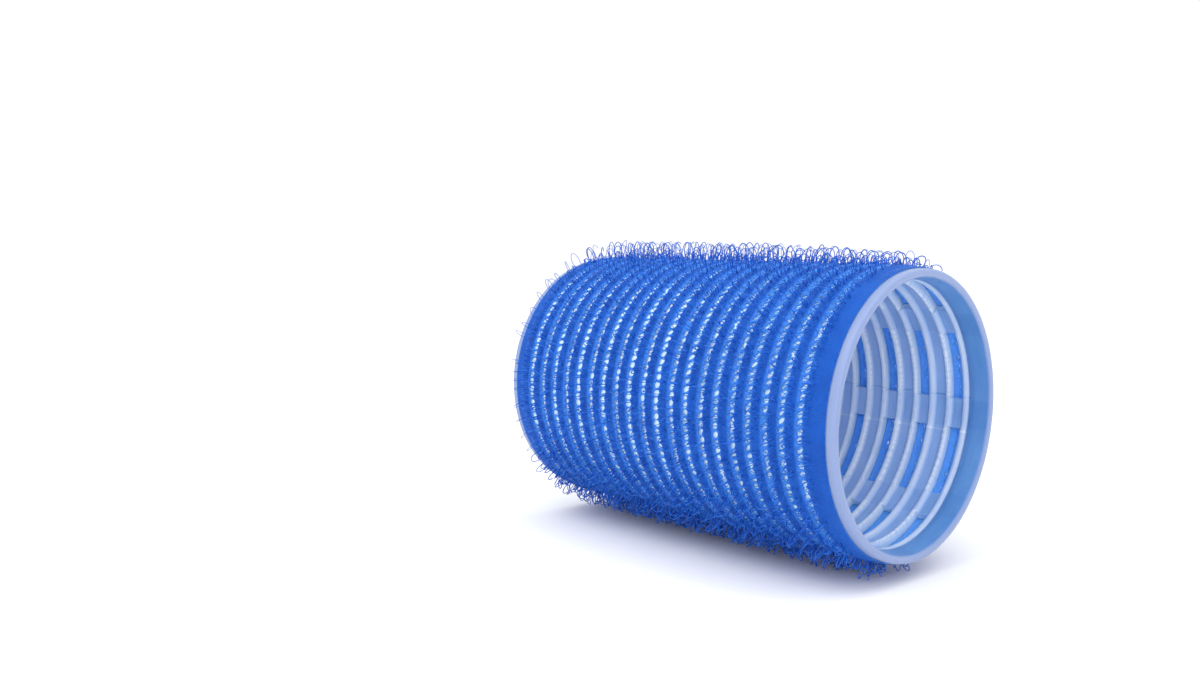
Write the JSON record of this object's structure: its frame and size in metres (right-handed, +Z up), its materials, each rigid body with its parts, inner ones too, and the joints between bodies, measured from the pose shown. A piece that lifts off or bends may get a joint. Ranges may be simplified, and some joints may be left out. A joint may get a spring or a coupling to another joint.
{
  "type": "hair roller",
  "caption": "Self-grip hair roller: open plastic core with rows of windows, a woven blue sleeve bonded on it, and rings of fine monofilament hooks that hold the hair.",
  "frame": {"origin": "on the surface that the roller lies on, under the middle of its axis", "axes": "+X along the roller's axis, +Z up; the roller lies on its side on its hook rows"},
  "size_m": [0.0632, 0.0454, 0.0455],
  "materials": {
    "core_plastic": "satin",
    "ground_cloth": "matte",
    "hook_filament": "satin"
  },
  "bodies": {
    "root": {"core_tube": "core_plastic", "fabric_sleeve": "ground_cloth", "hook_row_01": "hook_filament", "hook_row_02": "hook_filament", "hook_row_03": "hook_filament", "hook_row_04": "hook_filament", "hook_row_05": "hook_filament", "hook_row_06": "hook_filament", "hook_row_07": "hook_filament", "hook_row_08": "hook_filament", "hook_row_09": "hook_filament", "hook_row_10": "hook_filament", "hook_row_11": "hook_filament", "hook_row_12": "hook_filament", "hook_row_13": "hook_filament", "hook_row_14": "hook_filament", "hook_row_15": "hook_filament", "hook_row_16": "hook_filament", "hook_row_17": "hook_filament", "hook_row_18": "hook_filament", "hook_row_19": "hook_filament", "hook_row_20": "hook_filament", "hook_row_21": "hook_filament"}
  },
  "joints": []
}
